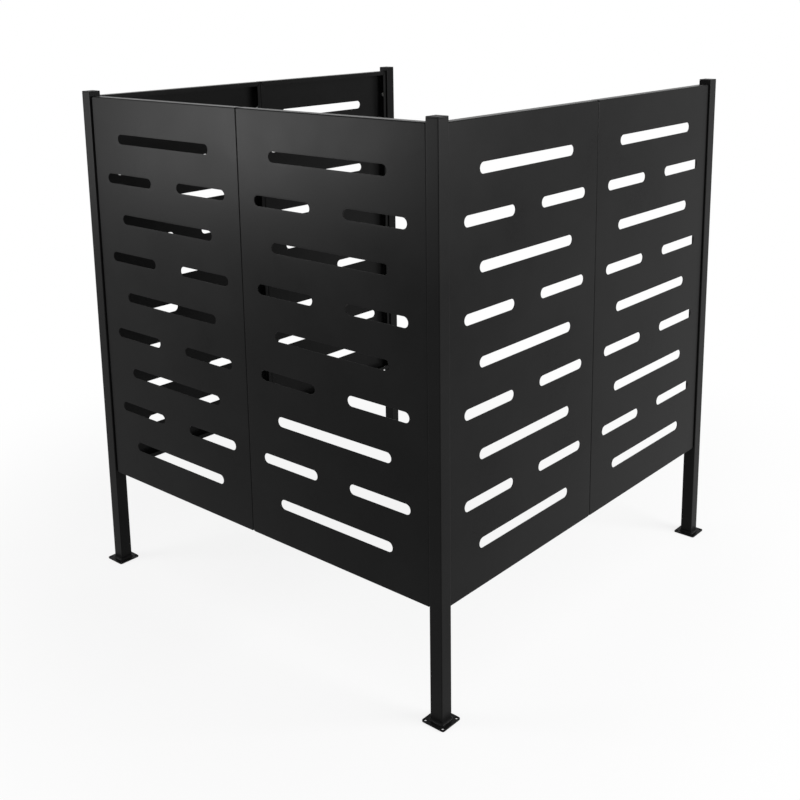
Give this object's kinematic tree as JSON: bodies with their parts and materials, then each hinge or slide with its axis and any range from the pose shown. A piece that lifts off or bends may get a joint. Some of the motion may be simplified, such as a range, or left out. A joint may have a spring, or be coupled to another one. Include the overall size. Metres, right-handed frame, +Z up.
{
  "type": "air conditioner screen",
  "caption": "Free-standing black steel screen of slotted tray panels bolted between square posts on base plates, closed on three sides and open on the fourth, to hide an outdoor unit.",
  "frame": {"origin": "middle of the square made by the four posts, on the floor under the base plates", "axes": "+Z up; +X towards the open side; +Y towards the rear side; the front side faces -Y"},
  "size_m": [0.9898, 0.9898, 1.0705],
  "materials": {
    "powder_coat": "satin black powder coat over folded and welded steel",
    "cap_plastic": "moulded black plastic, fine matt texture",
    "zinc_steel": "bright zinc plate"
  },
  "bodies": {
    "root": {"front_left_post": "powder_coat", "front_left_base_plate": "powder_coat", "front_left_cap": "cap_plastic", "front_right_post": "powder_coat", "front_right_base_plate": "powder_coat", "front_right_cap": "cap_plastic", "rear_left_post": "powder_coat", "rear_left_base_plate": "powder_coat", "rear_left_cap": "cap_plastic", "rear_right_post": "powder_coat", "rear_right_base_plate": "powder_coat", "rear_right_cap": "cap_plastic", "front_panel_left": "powder_coat", "front_panel_left_bolt_lower": "zinc_steel", "front_panel_left_rivet_nut_lower": "zinc_steel", "front_panel_left_bolt_upper": "zinc_steel", "front_panel_left_rivet_nut_upper": "zinc_steel", "front_panel_right": "powder_coat", "front_panel_right_bolt_lower": "zinc_steel", "front_panel_right_rivet_nut_lower": "zinc_steel", "front_panel_right_bolt_upper": "zinc_steel", "front_panel_right_rivet_nut_upper": "zinc_steel", "front_seam_bolt_lower": "zinc_steel", "front_seam_nut_lower": "zinc_steel", "front_seam_bolt_upper": "zinc_steel", "front_seam_nut_upper": "zinc_steel", "left_panel_rear": "powder_coat", "left_panel_rear_bolt_lower": "zinc_steel", "left_panel_rear_rivet_nut_lower": "zinc_steel", "left_panel_rear_bolt_upper": "zinc_steel", "left_panel_rear_rivet_nut_upper": "zinc_steel", "left_panel_front": "powder_coat", "left_panel_front_bolt_lower": "zinc_steel", "left_panel_front_rivet_nut_lower": "zinc_steel", "left_panel_front_bolt_upper": "zinc_steel", "left_panel_front_rivet_nut_upper": "zinc_steel", "left_seam_bolt_lower": "zinc_steel", "left_seam_nut_lower": "zinc_steel", "left_seam_bolt_upper": "zinc_steel", "left_seam_nut_upper": "zinc_steel", "rear_panel_right": "powder_coat", "rear_panel_right_bolt_lower": "zinc_steel", "rear_panel_right_rivet_nut_lower": "zinc_steel", "rear_panel_right_bolt_upper": "zinc_steel", "rear_panel_right_rivet_nut_upper": "zinc_steel", "rear_panel_left": "powder_coat", "rear_panel_left_bolt_lower": "zinc_steel", "rear_panel_left_rivet_nut_lower": "zinc_steel", "rear_panel_left_bolt_upper": "zinc_steel", "rear_panel_left_rivet_nut_upper": "zinc_steel", "rear_seam_bolt_lower": "zinc_steel", "rear_seam_nut_lower": "zinc_steel", "rear_seam_bolt_upper": "zinc_steel", "rear_seam_nut_upper": "zinc_steel"}
  },
  "joints": []
}
